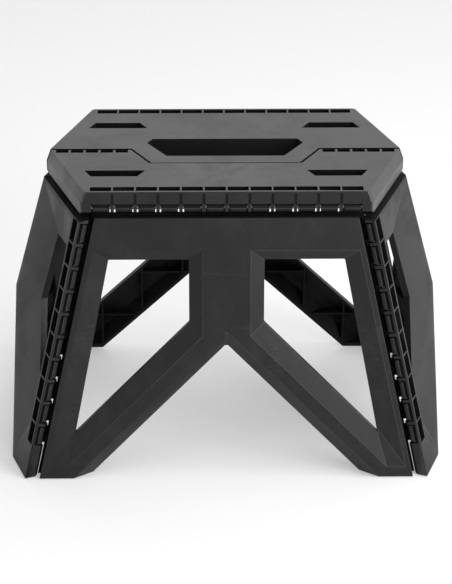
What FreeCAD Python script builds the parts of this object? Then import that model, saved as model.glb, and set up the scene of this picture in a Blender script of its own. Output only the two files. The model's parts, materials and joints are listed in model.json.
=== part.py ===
import FreeCAD, Part
import math
import os

# Folding camping stool in moulded black plastic, standing open.
# Millimetres, +Z up, front of the stool towards -Y, right towards +X.
# The origin is on the floor, under the middle of the seat.
#
# Eight moulded panels fold together: two seat halves, two leg panels and four side
# panels. The front layer is a mirror of the rear layer, apart from the middle hinge,
# the carrying tongue and the ridge hinges. A panel has its own flat frame: two axes in
# its plane and the third out of its show face, with the height 0 at its edge hinges.

Vec = FreeCAD.Vector

# Seat, seen from above: an elongated hexagon cut in two across its wide points.
SEAT_HEIGHT = 275.0
SEAT_THICK = 22.0
SEAT_FRONT = 250.0
SEAT_DEPTH = 188.0
SEAT_WIDTH = 320.4
SIDE_LEAN = 3.7
LEAN_HEIGHT = 11.0
SEAT_CORNER_ROUND = 3.5

# Moulded walls, ribs on the hidden faces, and the clearances between panels.
SKIN = 2.6
RIB = 1.6
RIB_PITCH = 46.0
LEG_RIB_ACROSS = 40.8
LEG_RIB_DOWN = 52.3
FACE_GAP = 0.35
RIDGE_GAP = 0.3

# Edge hinges: windowed rim on one panel, arms with barrels on the other, steel pin.
# The pins are pressed into the barrels and turn in many-sided bores in the rims.
PIN_RADIUS = 1.6
PIN_PLAY = 0.06
BARREL_FLATS = 8
BORE_FLATS = 6
RIM_DEPTH = 4.8
RIM_WALL = 2.3
SEAT_SLOT_DEPTH = 8.2
SIDE_SLOT_DEPTH = 11.4
WELL_DEPTH = 7.5
WINDOW_HEIGHT = 9.8
SLOT_RIB = 1.5
WINDOW_RIB = 3.0
GROOVE_WIDTH = 2.4
GROOVE_DEPTH = 0.5
GROOVE_END = 1.6
ARM_PLAY = 1.2
SETBACK = 8.0
BACK_SETBACK = 5.6
PIN_END = 1.5
SEAT_PITCH = 20.2
SEAT_WINDOWS = 12
CORNER_PITCH = 22.2
CORNER_WINDOWS = 10
CORNER_START = 12.4

# Middle hinge between the seat halves, with its barrels under the seam.
CENTRE_PITCH = 13.6
CENTRE_WINDOWS = 5
CENTRE_START = 88.0
CENTRE_RIB = 2.2
CENTRE_BARREL = 4.0
CENTRE_PLAY = 0.8
SEAM_FRONT = 2.2
SEAM_REAR = 0.3
NOTCH_DEPTH = 6.0

# Carrying tongue of the rear half, and the hand hole through it.
TONGUE_ROOT = 85.5
TONGUE_TIP = 67.2
TONGUE_REACH = 31.4
TONGUE_THICK = 11.6
TONGUE_GAP = 1.0
TONGUE_REST = 0.4
HOLE_REAR_HALF = 67.0
HOLE_REAR = 22.4
HOLE_TIP_HALF = 72.0
HOLE_TIP = 13.2
HOLE_FRONT_HALF = 53.7
HOLE_FRONT = 16.4
HOLE_EASE = 1.0

# Four long openings through the seat, two in each half.
POCKET_NEAR = 48.0
POCKET_FAR = 60.5
POCKET_NEAR_X = (72.6, 127.0)
POCKET_FAR_X = (79.5, 121.0)

# Leg panels, front and rear.
PANEL_THICK = 12.0
LEG_SPLAY = 7.4
CORNER_LEAN = 12.46
CORNER_INSET = 1.8
CHEVRON_HEIGHT = 127.2
CHEVRON_FLAT = 2.6
CHEVRON_ANGLE = 45.8
DIAGONAL_LAND = 12.0
DIAGONAL_BEVEL = 16.6
EDGE_LAND = 4.8
EDGE_BEVEL = 17.0
EDGE_LIP_TOP = 14.8
EDGE_LIP_FOOT = 19.7
TOP_LAND = 30.4
TOP_BEVEL = 10.0
MIDDLE_LAND = 21.5
MIDDLE_BEVEL = 12.2
FOOT_LAND = 11.0
FUNNEL_DEPTH = 5.5
LIP_DROP = 1.5

# Side panels, four alike, meeting in pairs at a ridge.
SIDE_TOP_GAP = 5.5
KINK_HEIGHT = 136.0
FOOT_REAR = 92.0
SIDE_TOP_LAND = 4.0
SIDE_TOP_BEVEL = 30.5
SIDE_LAND = 8.0
SIDE_BEVEL = 46.0
STRIP_WALL = 2.6
SIDE_FOOT_START = 43.0
SIDE_FOOT_SLOPE = 55.0

# Ridge hinges: round ears on the front side panel, open saddles on the rear one.
RIDGE_EAR_RADIUS = 3.5
RIDGE_EAR_WIDTH = 12.0
RIDGE_EARS = 4
RIDGE_END = 8.0
RIDGE_PLAY = 0.5

# Rubber pads let into the feet.
PAD_PROUD = 1.0
PAD_DEEP = 2.0
PAD_WIDTH = 6.6
PAD_CORNER = 2.0
LEG_PAD_LENGTH = 22.0
SIDE_PAD_LENGTH = 24.0
SOLE = 4.0

# Derived places.
SEAT_BASE = SEAT_HEIGHT - SEAT_THICK
SEAT_UNDER = SEAT_BASE + FACE_GAP
HALF_FRONT = SEAT_FRONT / 2
HALF_DEPTH = SEAT_DEPTH / 2
HALF_WIDTH = SEAT_WIDTH / 2
LEG_AXIS_Y = -HALF_DEPTH + RIM_DEPTH
LEG_AXIS_Z = SEAT_BASE + RIM_DEPTH
INNER = -RIM_DEPTH
INNER_FACE = INNER + FACE_GAP
OUTER = PANEL_THICK - RIM_DEPTH
BARREL_RADIUS = RIM_DEPTH - FACE_GAP
WINDOW_TOP = INNER + WINDOW_HEIGHT
LIP = OUTER - FUNNEL_DEPTH
SPLAY = math.radians(LEG_SPLAY)
LEAN = math.radians(CORNER_LEAN)
CHEVRON = math.radians(CHEVRON_ANGLE)
CORNER_AXIS = HALF_FRONT - CORNER_INSET
LEG_LENGTH = (LEG_AXIS_Z + OUTER * math.sin(SPLAY)) / math.cos(SPLAY)
SIDE_TOP = SEAT_BASE - SIDE_TOP_GAP
BORE_RADIUS = PIN_RADIUS + PIN_PLAY
REACH = 600.0

# Axes of the front leg panel: across, up its slope, and out of its show face.
ACROSS = Vec(1, 0, 0)
SLOPE_UP = Vec(0, math.sin(SPLAY), math.cos(SPLAY))
LEG_OUT = Vec(0, -math.cos(SPLAY), math.sin(SPLAY))
LEG_ORIGIN = Vec(0, LEG_AXIS_Y, LEG_AXIS_Z)

# Axes of the front right side panel: away from its corner hinge, up along the hinge,
# and out of its show face. Its top edge runs parallel to the side of the seat.
FLAT_AWAY = ACROSS * math.cos(LEAN) + SLOPE_UP * math.sin(LEAN)
HINGE_UP = SLOPE_UP * math.cos(LEAN) - ACROSS * math.sin(LEAN)
SIDE_RUN = Vec(HALF_WIDTH - HALF_FRONT, HALF_DEPTH, 0).normalize()
CORNER_TURN = math.atan2(
    SIDE_RUN.y * math.cos(SPLAY),
    math.cos(LEAN) * SIDE_RUN.x + SIDE_RUN.y * math.sin(LEAN) * math.sin(SPLAY),
)
SIDE_AWAY = FLAT_AWAY * math.cos(CORNER_TURN) - LEG_OUT * math.sin(CORNER_TURN)
SIDE_OUT = LEG_OUT * math.cos(CORNER_TURN) + FLAT_AWAY * math.sin(CORNER_TURN)
SIDE_ORIGIN = LEG_ORIGIN + ACROSS * CORNER_AXIS


# Flat geometry: a line is a point and a direction, with the inside on its left.
def line(start, end):
    """Line from one point to another."""
    return (start, (end[0] - start[0], end[1] - start[1]))


def shifted(flat_line, distance):
    """Line moved to its left by a distance."""
    (x, y), (dx, dy) = flat_line
    length = math.hypot(dx, dy)
    return ((x - dy / length * distance, y + dx / length * distance), (dx, dy))


def meet(first, second):
    """Point where two lines cross."""
    (ax, ay), (adx, ady) = first
    (bx, by), (bdx, bdy) = second
    along = ((bx - ax) * bdy - (by - ay) * bdx) / (adx * bdy - ady * bdx)
    return (ax + adx * along, ay + ady * along)


def corners(lines):
    """Corners of the outline that consecutive lines make."""
    return [meet(lines[i - 1], lines[i]) for i in range(len(lines))]


def grown_outline(points, wall):
    """Outline grown by a wall on every side."""
    return corners([
        shifted(line(points[i - 1], points[i]), -wall) for i in range(len(points))])


def mirrored_outline(points):
    """Outline mirrored left to right."""
    return [(-x, y) for x, y in reversed(points)]


# Solids.
def box(x, y, z):
    """Block between pairs of limits."""
    return Part.makeBox(x[1] - x[0], y[1] - y[0], z[1] - z[0], Vec(x[0], y[0], z[0]))


def prism(points, low, high):
    """Straight prism on an outline."""
    ring = [Vec(x, y, low) for x, y in points]
    face = Part.Face(Part.makePolygon(ring + ring[:1]))
    return face.extrude(Vec(0, 0, high - low))


def tapered(low_points, low, high_points, high):
    """Solid with flat sides between two outlines of as many corners."""
    rings = []
    for points, height in ((low_points, low), (high_points, high)):
        ring = [Vec(x, y, height) for x, y in points]
        rings.append(Part.makePolygon(ring + ring[:1]))
    return Part.makeLoft(rings, True, True)


def rod(start, end, radius):
    """Round bar between two points."""
    run = end - start
    return Part.makeCylinder(radius, run.Length, start, run)


def flat_sided(start, end, radius, face, flats):
    """Bar with flat sides a radius away from the line, one of them towards a face."""
    side = (end - start).cross(face).normalize()
    half_flat = math.pi / flats
    corner_radius = radius / math.cos(half_flat)
    ring = []
    for i in range(flats):
        turn = half_flat * (2 * i + 1)
        spoke = face * math.cos(turn) + side * math.sin(turn)
        ring.append(start + spoke * corner_radius)
    return Part.Face(Part.makePolygon(ring + ring[:1])).extrude(end - start)


def keep_side(shape, point, normal):
    """The part of a shape that lies where the plane's normal points."""
    half_space = box((-REACH, REACH), (-REACH, REACH), (0, 2 * REACH))
    turn = FreeCAD.Rotation(Vec(0, 0, 1), normal)
    half_space.Placement = FreeCAD.Placement(point, turn)
    return shape.common(half_space)


def framed(shape, origin, x_axis, y_axis, z_axis):
    """Shape moved from a panel's flat frame into the stool."""
    frame = FreeCAD.Matrix(
        x_axis.x, y_axis.x, z_axis.x, origin.x,
        x_axis.y, y_axis.y, z_axis.y, origin.y,
        x_axis.z, y_axis.z, z_axis.z, origin.z,
        0, 0, 0, 1,
    )
    moved = shape.copy()
    moved.Placement = FreeCAD.Placement(frame).multiply(shape.Placement)
    return moved


def in_leg(shape):
    """Shape moved from the flat frame of the front leg panel."""
    return framed(shape, LEG_ORIGIN, ACROSS, SLOPE_UP, LEG_OUT)


def in_side(shape):
    """Shape moved from the flat frame of the front right side panel."""
    return framed(shape, SIDE_ORIGIN, SIDE_AWAY, HINGE_UP, SIDE_OUT)


def flipped(shape, axis):
    """Shape mirrored across the middle plane that the axis is square to."""
    return shape.mirror(Vec(0, 0, 0), axis)


# A sloping facet of a funnel goes through an edge line on the show face and one point
# of the window's lip below it.
def facet_plane(edge_line, lip_point, grow):
    """Point and inward normal of a facet's plane, moved outward by a wall."""
    (x, y), (dx, dy) = edge_line
    start = Vec(x, y, OUTER)
    along = Vec(dx, dy, 0).normalize()
    down = Vec(lip_point[0], lip_point[1], LIP) - start
    normal = down.cross(along)
    if normal.dot(Vec(-dy, dx, 0)) < 0:
        normal = normal * -1
    normal.normalize()
    return start - normal * grow, normal


def sloping_cutter(facets, low, grow):
    """Solid inside all the facets, from a low level to above the show face."""
    cutter = box((-REACH, REACH), (-REACH, REACH), (low, OUTER + 1))
    for edge_line, lip_point in facets:
        point, normal = facet_plane(edge_line, lip_point, grow)
        cutter = keep_side(cutter, point, normal)
    return cutter


def window_cutters(facets, lip_lines):
    """A window's funnel and hole, and the same with the moulded wall around them."""
    funnel = sloping_cutter(facets, LIP - LIP_DROP, 0)
    hole = prism(corners(lip_lines), INNER - 1, OUTER + 1)
    wall = sloping_cutter(facets, INNER - 2, SKIN)
    grown = [shifted(lip_line, -SKIN) for lip_line in lip_lines]
    ring = prism(corners(grown), INNER - 2, LIP)
    return funnel.fuse(hole), wall.fuse(ring)


def ribbed_cavity(outline, solids_to_clear, x_places, y_places):
    """Hollow behind a panel's skin, split by a grid of thin ribs."""
    cavity = prism(outline, INNER - 1, OUTER - SKIN)
    ribs = rib_grid(x_places, y_places, (INNER - 2, OUTER))
    return cavity.cut(solids_to_clear + ribs)


def rib_grid(x_places, y_places, z_limits):
    """Thin plates square to each axis at the given places."""
    wide = (-REACH, REACH)
    ribs = []
    for place in x_places:
        ribs.append(box((place - RIB / 2, place + RIB / 2), wide, z_limits))
    for place in y_places:
        ribs.append(box(wide, (place - RIB / 2, place + RIB / 2), z_limits))
    return ribs


def even_places(low, high):
    """Places of ribs that divide a length evenly, about a rib pitch apart."""
    spaces = max(1, round((high - low) / RIB_PITCH))
    return [low + (high - low) * i / spaces for i in range(1, spaces)]


# Edge hinges.
def hinge_arm(centre, out, face, along, width):
    """Thin arm from the set-back wall, ending in a thicker barrel on the hinge axis."""
    root = out * -(SETBACK + 1)
    start = centre - along * (width / 2)
    ring = [start - face * BARREL_RADIUS + root]
    for i in range(BARREL_FLATS // 2 + 2):
        turn = 2 * math.pi * i / BARREL_FLATS
        ring.append(start - (face * math.cos(turn) - out * math.sin(turn)) * BARREL_RADIUS)
    web_level = SKIN - BARREL_RADIUS
    ring.append(start + face * web_level - out * math.sqrt(BARREL_RADIUS ** 2 - web_level ** 2))
    ring.append(start + face * web_level + root)
    return Part.Face(Part.makePolygon(ring + ring[:1])).extrude(along * width)


def pattern_places(count, pitch):
    """Places of a row of copies about its middle."""
    return [(i - (count - 1) / 2) * pitch for i in range(count)]


def rim_cutters(places, pitch, slot_depth, well_depth, edge_level):
    """Slots and windows of a hinge rim whose edge wall faces -X in its flat frame.

    The hinge axis runs along Y through the origin. Under its slot, each arm's barrel has
    a well that opens down to the hidden face. edge_level is the show face.
    """
    cutters = []
    start = -RIM_DEPTH + RIM_WALL
    for place in places:
        slot = (pitch - SLOT_RIB) / 2
        window = (pitch - WINDOW_RIB) / 2
        slot_span = (place - slot, place + slot)
        cutters.append(box((start, start + slot_depth), slot_span, (0, edge_level + 1)))
        cutters.append(box((start, start + well_depth), slot_span, (INNER - 1, 1)))
        cutters.append(box(
            (-RIM_DEPTH - 1, start + 1), (place - window, place + window),
            (INNER - 1, WINDOW_TOP)))
    return cutters


def rim_grooves(places, pitch, edge_level):
    """Shallow upright grooves down a rim's edge wall, one in front of each rib."""
    half = GROOVE_WIDTH / 2
    grooves = []
    for place in places[1:]:
        rib = place - pitch / 2
        grooves.append(box(
            (-RIM_DEPTH - 1, -RIM_DEPTH + GROOVE_DEPTH), (rib - half, rib + half),
            (WINDOW_TOP, edge_level - GROOVE_END)))
    return grooves


def rim_bevel(low, high):
    """Cutter that takes a rim's inner corner off, as far out as the hinge needs."""
    far = RIM_DEPTH + 1
    near = RIM_DEPTH * math.sqrt(2) - far
    ring = [Vec(-far, low, -near), Vec(-far, low, -far), Vec(-near, low, -far)]
    return Part.Face(Part.makePolygon(ring + ring[:1])).extrude(Vec(0, high - low, 0))


def rim_bore(low, high):
    """Bore of a rim along the hinge axis."""
    ends = (Vec(0, low, 0), Vec(0, high, 0))
    return flat_sided(*ends, BORE_RADIUS, Vec(0, 0, 1), BORE_FLATS)


# Seat halves.
def seat_side_line():
    """Right side of the front half, with the inside on its left."""
    return line((HALF_FRONT, -HALF_DEPTH), (HALF_WIDTH, 0))


def seat_outline(side_shift, seam, front):
    """Outline of the front half between two levels of its depth."""
    side = shifted(seat_side_line(), side_shift)
    lines = [
        ((0, front), (1, 0)),
        side,
        ((0, -seam), (-1, 0)),
        ((-side[0][0], side[0][1]), (side[1][0], -side[1][1])),
    ]
    return corners(lines)


def seat_blank(seam):
    """Front half as a plain moulding with leaning sides and rounded corners."""
    top = seat_outline(0, seam, -HALF_DEPTH)
    low = seat_outline(-SIDE_LEAN, seam, -HALF_DEPTH)
    lean_level = SEAT_HEIGHT - LEAN_HEIGHT
    upper = tapered(low, lean_level, top, SEAT_HEIGHT)
    blank = prism(low, SEAT_UNDER, lean_level).fuse(upper).removeSplitter()
    corner_edges = []
    for edge in blank.Edges:
        middle = edge.CenterOfMass
        upright = edge.BoundBox.ZLength > LEAN_HEIGHT / 2
        if upright and middle.y < -HALF_DEPTH + 1 and abs(middle.x) > HALF_FRONT / 2:
            corner_edges.append(edge)
    return blank.makeFillet(SEAT_CORNER_ROUND, corner_edges)


def in_front_rim(shape):
    """Shape moved from a rim's flat frame to the seat's front edge."""
    origin = Vec(0, LEG_AXIS_Y, LEG_AXIS_Z)
    return framed(shape, origin, Vec(0, 1, 0), Vec(-1, 0, 0), Vec(0, 0, 1))


def seat_pocket(near_x, far_x, grow):
    """Long opening on the right of the front half, with a wall around it."""
    outline = [
        (near_x[1], -POCKET_NEAR),
        (near_x[0], -POCKET_NEAR),
        (far_x[0], -POCKET_FAR),
        (far_x[1], -POCKET_FAR),
    ]
    return prism(grown_outline(outline, grow), SEAT_BASE - 1, SEAT_HEIGHT + 1)


def both_sides(shapes):
    """The shapes and their copies on the other side of the stool."""
    return shapes + [flipped(shape, Vec(1, 0, 0)) for shape in shapes]


def seat_body(seam, hinge_depth, solid_middle):
    """Front half with its rim, long openings and ribbed underside."""
    rim_back = -HALF_DEPTH + RIM_WALL + SEAT_SLOT_DEPTH + SKIN
    hollow = prism(
        seat_outline(SKIN, hinge_depth + SKIN, rim_back), SEAT_BASE - 1, SEAT_HEIGHT - SKIN)
    ribs = rib_grid(
        even_places(-HALF_WIDTH, HALF_WIDTH), even_places(rim_back, -hinge_depth - SKIN),
        (SEAT_BASE - 2, SEAT_HEIGHT))
    walls = both_sides([seat_pocket(POCKET_NEAR_X, POCKET_FAR_X, SKIN)])
    hollow = hollow.cut(ribs + walls + [solid_middle])
    places = pattern_places(SEAT_WINDOWS, SEAT_PITCH)
    edge_level = SEAT_THICK - RIM_DEPTH
    rim = rim_cutters(places, SEAT_PITCH, SEAT_SLOT_DEPTH, SEAT_SLOT_DEPTH, edge_level)
    rim += rim_grooves(places, SEAT_PITCH, edge_level)
    rim.append(rim_bevel(-HALF_WIDTH, HALF_WIDTH))
    half_row = SEAT_WINDOWS * SEAT_PITCH / 2 + PIN_END
    rim.append(rim_bore(-half_row, half_row))
    openings = both_sides([seat_pocket(POCKET_NEAR_X, POCKET_FAR_X, 0)])
    cutters = [in_front_rim(cutter) for cutter in rim] + openings + [hollow]
    return seat_blank(seam).cut(cutters)


def tongue_outline(grow_side, grow_tip):
    """Outline of the tongue forward of the seam, right side first."""
    side = shifted(line((TONGUE_TIP, -TONGUE_REACH), (TONGUE_ROOT, 0)), -grow_side)
    tip = ((0, -TONGUE_REACH - grow_tip), (1, 0))
    seam = ((0, SEAM_REAR + 1), (-1, 0))
    other = ((-side[0][0], side[0][1]), (side[1][0], -side[1][1]))
    return corners([tip, side, seam, other])


def hand_hole_outline():
    """Six-sided hand hole."""
    half = [
        (HOLE_FRONT_HALF, -HOLE_FRONT),
        (HOLE_TIP_HALF, HOLE_TIP),
        (HOLE_REAR_HALF, HOLE_REAR),
    ]
    return half + mirrored_outline(half)


def finger_hole_outline():
    """Opening of the front half that lies over the hand hole when folded."""
    half = [
        (HOLE_REAR_HALF + HOLE_EASE, -HOLE_REAR - HOLE_EASE),
        (HOLE_TIP_HALF + HOLE_EASE, -HOLE_TIP),
        (HOLE_TIP_HALF + HOLE_EASE, 1),
    ]
    return half + mirrored_outline(half)


def centre_windows():
    """Limits of each window of the middle hinge, on the right side."""
    spans = []
    for i in range(CENTRE_WINDOWS):
        low = CENTRE_START + CENTRE_RIB / 2 + i * CENTRE_PITCH
        spans.append((low, low + CENTRE_PITCH - CENTRE_RIB))
    return spans


def centre_rib_places():
    """Middle of each rib of the middle hinge, on the right side."""
    return [CENTRE_START + i * CENTRE_PITCH for i in range(CENTRE_WINDOWS + 1)]


def centre_pin_span():
    """Ends of the right middle pin."""
    last = CENTRE_START + CENTRE_WINDOWS * CENTRE_PITCH
    return (CENTRE_START - CENTRE_RIB / 2, last + CENTRE_RIB / 2)


def centre_bar(low, high, radius, flats):
    """Bar with flat sides on the middle hinge."""
    ends = (Vec(low, 0, SEAT_BASE), Vec(high, 0, SEAT_BASE))
    return flat_sided(*ends, radius, Vec(0, 0, 1), flats)


def front_seat_half():
    """Front half: windowed rims, the recess under the tongue and the middle ears."""
    shelf_level = SEAT_HEIGHT - TONGUE_THICK - TONGUE_REST
    recess = prism(
        tongue_outline(2 * TONGUE_GAP, TONGUE_GAP), shelf_level, SEAT_HEIGHT + 1)
    recess_wall = prism(
        tongue_outline(2 * TONGUE_GAP + SKIN, TONGUE_GAP + SKIN),
        SEAT_BASE - 2, SEAT_HEIGHT + 1)
    half = seat_body(SEAM_FRONT, SEAM_FRONT + NOTCH_DEPTH, recess_wall)
    fingers = prism(finger_hole_outline(), SEAT_BASE - 1, SEAT_HEIGHT + 1)
    notches = []
    for span in centre_windows():
        notches.append(box(
            span, (-SEAM_FRONT - NOTCH_DEPTH, 1), (SEAT_BASE - 1, SEAT_HEIGHT + 1)))
    half = half.cut([recess, fingers] + both_sides(notches))
    ears = []
    for place in centre_rib_places():
        band = (place - CENTRE_RIB / 2, place + CENTRE_RIB / 2)
        ear = centre_bar(band[0], band[1], CENTRE_BARREL, BARREL_FLATS)
        web = box(band, (-SEAM_FRONT - NOTCH_DEPTH, 0), (SEAT_UNDER, SEAT_BASE + CENTRE_BARREL))
        ears.append(ear.fuse(web))
    return half.fuse(both_sides(ears)).removeSplitter()


def rear_seat_half():
    """Rear half: the carrying tongue, the hand hole and the middle barrels."""
    hole_wall = prism(
        grown_outline(hand_hole_outline(), SKIN), SEAT_BASE - 2, SEAT_HEIGHT + 1)
    half = flipped(
        seat_body(SEAM_REAR, CENTRE_BARREL + CENTRE_PLAY, flipped(hole_wall, Vec(0, 1, 0))),
        Vec(0, 1, 0))
    tongue = prism(tongue_outline(0, 0), SEAT_HEIGHT - TONGUE_THICK, SEAT_HEIGHT)
    pockets = []
    for place in centre_rib_places():
        side = CENTRE_RIB / 2 + CENTRE_PLAY
        pockets.append(box(
            (place - side, place + side), (0, CENTRE_BARREL + CENTRE_PLAY),
            (SEAT_BASE - 1, SEAT_BASE + CENTRE_BARREL + CENTRE_PLAY)))
    half = half.fuse(tongue)
    half = half.cut([prism(hand_hole_outline(), SEAT_BASE - 1, SEAT_HEIGHT + 1)])
    half = half.cut(both_sides(pockets))
    barrels = []
    for low, high in centre_windows():
        barrels.append(centre_bar(
            low + CENTRE_PLAY, high - CENTRE_PLAY, CENTRE_BARREL, BARREL_FLATS))
    low, high = centre_pin_span()
    bore = centre_bar(low - PIN_END, high + PIN_END, BORE_RADIUS, BORE_FLATS)
    return half.fuse(both_sides(barrels)).cut(both_sides([bore])).removeSplitter()


# Leg panels.
def leg_wall_line(setback):
    """Right edge wall of the leg panel, set back from the corner hinge."""
    up = (-math.sin(LEAN), math.cos(LEAN))
    return shifted(((CORNER_AXIS, 0), up), setback)


def leg_lines(setback):
    """Foot, right, top and left lines of the leg panel, set back from its hinges."""
    wall = leg_wall_line(setback)
    return [
        ((0, -LEG_LENGTH - PANEL_THICK), (1, 0)),
        wall,
        ((0, -setback), (-1, 0)),
        ((-wall[0][0], wall[0][1]), (wall[1][0], -wall[1][1])),
    ]


def chevron_line():
    """Right lower edge of the leg panel on its hidden face."""
    start = (CHEVRON_FLAT / 2, CHEVRON_HEIGHT - LEG_LENGTH)
    return (start, (math.cos(CHEVRON), -math.sin(CHEVRON)))


def notch_facets():
    """Facets of the chevron cut, which slopes through the whole thickness."""
    edge = shifted(chevron_line(), PANEL_THICK)
    (x, y), (dx, dy) = edge
    slope = FUNNEL_DEPTH / PANEL_THICK
    (hidden_x, hidden_y), _ = chevron_line()
    lip_point = (x + (hidden_x - x) * slope, y + (hidden_y - y) * slope)
    right = ((x, y), (-dx, -dy))
    left = ((-x, y), (-dx, dy))
    top_level = hidden_y + PANEL_THICK / math.cos(CHEVRON)
    top_lip = top_level + (hidden_y - top_level) * slope
    top = ((0, top_level), (-1, 0))
    return [
        (right, lip_point),
        (left, (-lip_point[0], lip_point[1])),
        (top, (0, top_lip)),
    ]


def leg_window():
    """Facets and lip lines of the leg panel's right window.

    The lip along the edge post stands steeper than the post, so the funnel's facet there
    grows wider and deeper towards the foot.
    """
    wall = leg_wall_line(SETBACK)
    chevron = shifted(chevron_line(), PANEL_THICK + DIAGONAL_LAND)
    top = ((0, -SETBACK - TOP_LAND), (-1, 0))
    middle = ((MIDDLE_LAND, 0), (0, -1))
    edge = shifted(wall, EDGE_LAND)
    foot = ((0, FOOT_LAND - LEG_LENGTH), (1, 0))
    edge_lip = line(
        meet(shifted(edge, EDGE_LIP_FOOT), foot), meet(shifted(edge, EDGE_LIP_TOP), top))
    lip_lines = [
        shifted(chevron, DIAGONAL_BEVEL),
        edge_lip,
        shifted(top, TOP_BEVEL),
        shifted(middle, MIDDLE_BEVEL),
    ]
    foot_point, top_point, middle_point = (
        meet(lip_lines[0], lip_lines[1]), meet(lip_lines[2], lip_lines[3]),
        meet(lip_lines[3], lip_lines[0]))
    edge_point = meet(shifted(edge, EDGE_BEVEL), lip_lines[2])
    facets = [
        (chevron, middle_point),
        (foot, foot_point),
        (edge, edge_point),
        (top, top_point),
        (middle, middle_point),
    ]
    return facets, lip_lines


def leg_pad():
    """Rubber pad under the right foot of the front leg panel."""
    outer_foot = meet(leg_wall_line(SETBACK), ((0, -LEG_LENGTH), (1, 0)))
    inner_foot = meet(shifted(chevron_line(), PANEL_THICK), ((0, -LEG_LENGTH), (1, 0)))
    middle_x = (outer_foot[0] + inner_foot[0]) / 2
    middle_level = (INNER + OUTER) / 2
    middle = LEG_ORIGIN - SLOPE_UP * LEG_LENGTH + LEG_OUT * middle_level
    return foot_pad(Vec(middle_x, middle.y, 0), ACROSS, LEG_PAD_LENGTH)


def foot_pad(centre, along, length):
    """Flat pad with bevelled corners, standing on the floor."""
    across = Vec(-along.y, along.x, 0)
    ring = []
    for side_x, side_y in ((1, 1), (-1, 1), (-1, -1), (1, -1)):
        end = centre + along * (side_x * length / 2)
        side = centre + across * (side_y * PAD_WIDTH / 2)
        end_corner = end + across * (side_y * (PAD_WIDTH / 2 - PAD_CORNER))
        side_corner = side + along * (side_x * (length / 2 - PAD_CORNER))
        pair = [end_corner, side_corner]
        ring += pair if side_x * side_y > 0 else pair[::-1]
    return Part.Face(Part.makePolygon(ring + ring[:1])).extrude(Vec(0, 0, PAD_PROUD + PAD_DEEP))


def corner_places():
    """Places of the corner windows down the hinge, from the top."""
    first = -CORNER_START - CORNER_PITCH / 2
    return [first - i * CORNER_PITCH for i in range(CORNER_WINDOWS)]


def leg_arms():
    """Arms of the top edge and of the right edge, in the leg's flat frame."""
    arms = []
    top_width = SEAT_PITCH - WINDOW_RIB - 2 * ARM_PLAY
    for place in pattern_places(SEAT_WINDOWS, SEAT_PITCH):
        arms.append(hinge_arm(
            Vec(place, 0, 0), Vec(0, 1, 0), Vec(0, 0, 1), Vec(1, 0, 0), top_width))
    side_width = CORNER_PITCH - WINDOW_RIB - 2 * ARM_PLAY
    out = Vec(math.cos(LEAN), math.sin(LEAN), 0)
    up = Vec(-math.sin(LEAN), math.cos(LEAN), 0)
    side_arms = []
    for place in corner_places():
        centre = Vec(CORNER_AXIS, 0, 0) + up * place
        side_arms.append(hinge_arm(centre, out, Vec(0, 0, 1), up, side_width))
    return arms + both_sides(side_arms)


def leg_panel():
    """Front leg panel, with its two windows, ribs and hinge arms.

    A thin flange on its hidden face comes nearer to the hinges and closes the gap there.
    """
    lines = leg_lines(SETBACK)
    panel = prism(corners(lines), INNER_FACE, OUTER)
    flange = prism(corners(leg_lines(BACK_SETBACK)), INNER_FACE, INNER_FACE + SKIN)
    facets, lip_lines = leg_window()
    opening, opening_wall = window_cutters(facets, lip_lines)
    notch = sloping_cutter(notch_facets(), INNER - 1, 0)
    notch_wall = sloping_cutter(notch_facets(), INNER - 2, SKIN)
    inner_lines = [shifted(edge, SKIN) for edge in lines]
    inner_lines[0] = ((0, SOLE + PAD_DEEP + PAD_PROUD - LEG_LENGTH), (1, 0))
    half_foot = meet(lines[0], lines[1])[0]
    ribs_across = pattern_places(2 * int(half_foot // LEG_RIB_ACROSS) + 1, LEG_RIB_ACROSS)
    rib_count = int((LEG_LENGTH - SETBACK) // LEG_RIB_DOWN)
    ribs_down = [-SETBACK - LEG_RIB_DOWN * (i + 1) for i in range(rib_count)]
    cavity = ribbed_cavity(
        corners(inner_lines), both_sides([opening_wall]) + [notch_wall],
        ribs_across, ribs_down)
    panel = panel.fuse(flange).cut(both_sides([opening]) + [notch, cavity])
    panel = panel.fuse(leg_arms()).removeSplitter()
    panel = keep_side(in_leg(panel), Vec(0, 0, PAD_PROUD), Vec(0, 0, 1))
    return panel.cut(both_sides([leg_pad()]))


# Side panels.
def side_point(level, y, z):
    """Point of the front right side panel's plane with a given depth and height."""
    rest = SIDE_ORIGIN + SIDE_OUT * level
    ay, by, cy = SIDE_AWAY.y, HINGE_UP.y, y - rest.y
    az, bz, cz = SIDE_AWAY.z, HINGE_UP.z, z - rest.z
    scale = ay * bz - az * by
    return ((cy * bz - cz * by) / scale, (ay * cz - az * cy) / scale)


def side_lines(level):
    """Free, ridge and top edge lines of the side panel on one of its faces."""
    kink = side_point(level, 0, KINK_HEIGHT)
    ridge_top = side_point(level, 0, SIDE_TOP)
    rim_top = side_point(level, LEG_AXIS_Y, SIDE_TOP)
    foot = side_point(level, -FOOT_REAR, 0)
    return line(foot, kink), line(kink, ridge_top), line(ridge_top, rim_top)


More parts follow.
